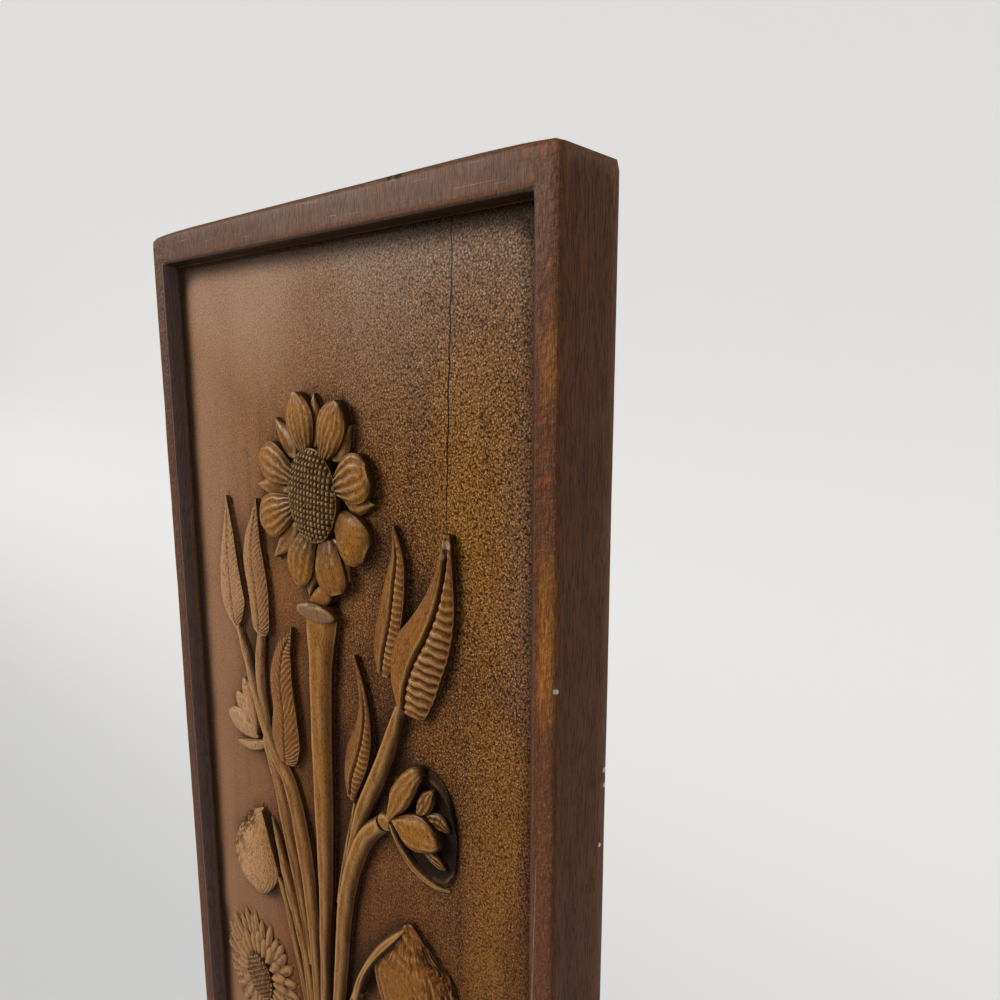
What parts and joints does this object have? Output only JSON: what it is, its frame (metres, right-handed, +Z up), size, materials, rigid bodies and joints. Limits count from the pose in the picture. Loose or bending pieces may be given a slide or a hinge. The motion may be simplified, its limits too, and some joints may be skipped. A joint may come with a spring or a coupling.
{
  "type": "carved wall plaque",
  "caption": "Upright carved wooden wall plaque: a flat board with a narrow raised rim round a sunk field, a flower bouquet in low relief and a flat back to hang on a wall.",
  "frame": {"origin": "middle of the flat back, where the plaque lies against the wall", "axes": "+Z up along the plaque, +Y into the wall, so the carved front faces -Y, +X to the right seen from the front"},
  "size_m": [0.2, 0.024, 0.44],
  "materials": {
    "stained_wood": "stained and waxed, satin, worn paler on the high places"
  },
  "bodies": {
    "root": {"carved_plaque": "stained_wood"}
  },
  "joints": []
}
